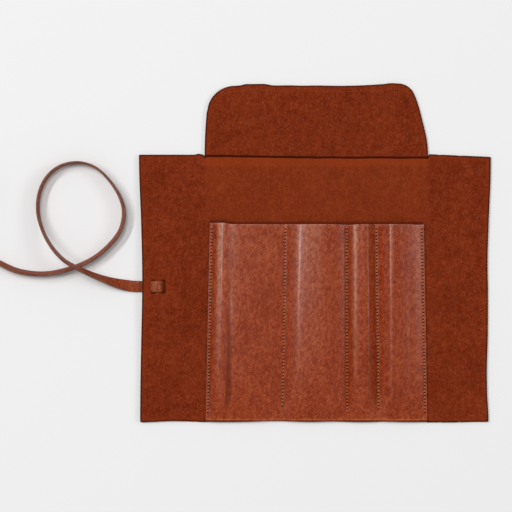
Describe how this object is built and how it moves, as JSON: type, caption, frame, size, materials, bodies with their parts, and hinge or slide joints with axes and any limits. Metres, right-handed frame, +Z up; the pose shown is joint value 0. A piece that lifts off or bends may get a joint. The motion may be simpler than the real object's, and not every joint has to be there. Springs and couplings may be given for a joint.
{
  "type": "roll-up pencil case",
  "caption": "Leather roll-up pencil case lying open: sewn pockets, a flap over their mouths, folding wings and a long strap that ties round the roll.",
  "frame": {"origin": "centre of the hide's bounding box on the surface it lies on, strap left out", "axes": "+X across the case away from the strap, +Y from the pocket fold towards the flap, +Z up out of the flesh side"},
  "size_m": [0.5174, 0.3034, 0.0214],
  "materials": {
    "suede_hide": "napped flesh side",
    "grain_hide": "glossy grain side",
    "thread": "waxed",
    "strap_leather": "smooth"
  },
  "bodies": {
    "panel_1": {"back_panel_1": "suede_hide", "pocket_front_1": "grain_hide", "seam_thread_1": "thread", "seam_thread_2": "thread"},
    "panel_2": {"back_panel_2": "suede_hide", "pocket_front_2": "grain_hide", "seam_thread_3": "thread"},
    "panel_3": {"back_panel_3": "suede_hide", "pocket_front_3": "grain_hide", "seam_thread_4": "thread"},
    "panel_4": {"back_panel_4": "suede_hide", "pocket_front_4": "grain_hide", "seam_thread_5": "thread"},
    "left_inner": {"left_wing_inner": "suede_hide"},
    "left_outer": {"left_wing_outer": "suede_hide", "strap_woven_end": "strap_leather", "strap_free_run": "strap_leather", "strap_coil": "strap_leather"},
    "right_inner": {"right_wing_inner": "suede_hide"},
    "right_middle": {"right_wing_middle": "suede_hide"},
    "right_outer": {"right_wing_outer": "suede_hide"},
    "flap_1": {"flap_panel_1": "suede_hide"},
    "flap_2": {"flap_panel_2": "suede_hide"},
    "flap_3": {"flap_panel_3": "suede_hide"},
    "flap_4": {"flap_panel_4": "suede_hide"}
  },
  "joints": [
    {"name": "roll", "type": "hinge", "parent": "panel_1", "child": "panel_2", "pos_m": [-0.0233, 0, 0.0018], "axis": [0, -1, 0], "range_deg": [0, 85]},
    {"name": "roll_pocket_3", "type": "hinge", "parent": "panel_2", "child": "panel_3", "pos_m": [0.0335, 0, 0.0018], "axis": [0, -1, 0], "range_deg": [0, 75]},
    {"name": "roll_pocket_4", "type": "hinge", "parent": "panel_3", "child": "panel_4", "pos_m": [0.061, 0, 0.0018], "axis": [0, -1, 0], "range_deg": [0, 75]},
    {"name": "roll_wing_inner", "type": "hinge", "parent": "panel_4", "child": "right_inner", "pos_m": [0.104, 0, 0.0018], "axis": [0, -1, 0], "range_deg": [0, 70]},
    {"name": "roll_wing_middle", "type": "hinge", "parent": "right_inner", "child": "right_middle", "pos_m": [0.12167, 0, 0.0018], "axis": [0, -1, 0], "range_deg": [0, 70]},
    {"name": "roll_wing_outer", "type": "hinge", "parent": "right_middle", "child": "right_outer", "pos_m": [0.13933, 0, 0.0018], "axis": [0, -1, 0], "range_deg": [0, 70]},
    {"name": "wrap", "type": "hinge", "parent": "panel_1", "child": "left_inner", "pos_m": [-0.1001, 0, 0.0018], "axis": [0, 1, 0], "range_deg": [0, 102]},
    {"name": "wrap_outer", "type": "hinge", "parent": "left_inner", "child": "left_outer", "pos_m": [-0.1141, 0, 0.0018], "axis": [0, 1, 0], "range_deg": [0, 20]},
    {"name": "flap_fold", "type": "hinge", "parent": "panel_1", "child": "flap_1", "pos_m": [-0.0617, 0.087, 0.0018], "axis": [1, 0, 0], "range_deg": [0, 170]},
    {"name": "flap_fold_2", "type": "hinge", "parent": "panel_2", "child": "flap_2", "pos_m": [0.0051, 0.087, 0.0018], "axis": [1, 0, 0], "range_deg": [0, 170]},
    {"name": "flap_fold_3", "type": "hinge", "parent": "panel_3", "child": "flap_3", "pos_m": [0.04725, 0.087, 0.0018], "axis": [1, 0, 0], "range_deg": [0, 170]},
    {"name": "flap_fold_4", "type": "hinge", "parent": "panel_4", "child": "flap_4", "pos_m": [0.0825, 0.087, 0.0018], "axis": [1, 0, 0], "range_deg": [0, 170]}
  ],
  "couplings": [
    {"joint": "roll_pocket_3", "follows": "roll", "ratio": 0.88235},
    {"joint": "roll_pocket_4", "follows": "roll", "ratio": 0.88235},
    {"joint": "roll_wing_inner", "follows": "roll", "ratio": 0.82353},
    {"joint": "roll_wing_middle", "follows": "roll", "ratio": 0.82353},
    {"joint": "roll_wing_outer", "follows": "roll", "ratio": 0.82353},
    {"joint": "wrap_outer", "follows": "wrap", "ratio": 0.19608},
    {"joint": "flap_fold_2", "follows": "flap_fold", "ratio": 1},
    {"joint": "flap_fold_3", "follows": "flap_fold", "ratio": 1},
    {"joint": "flap_fold_4", "follows": "flap_fold", "ratio": 1}
  ]
}
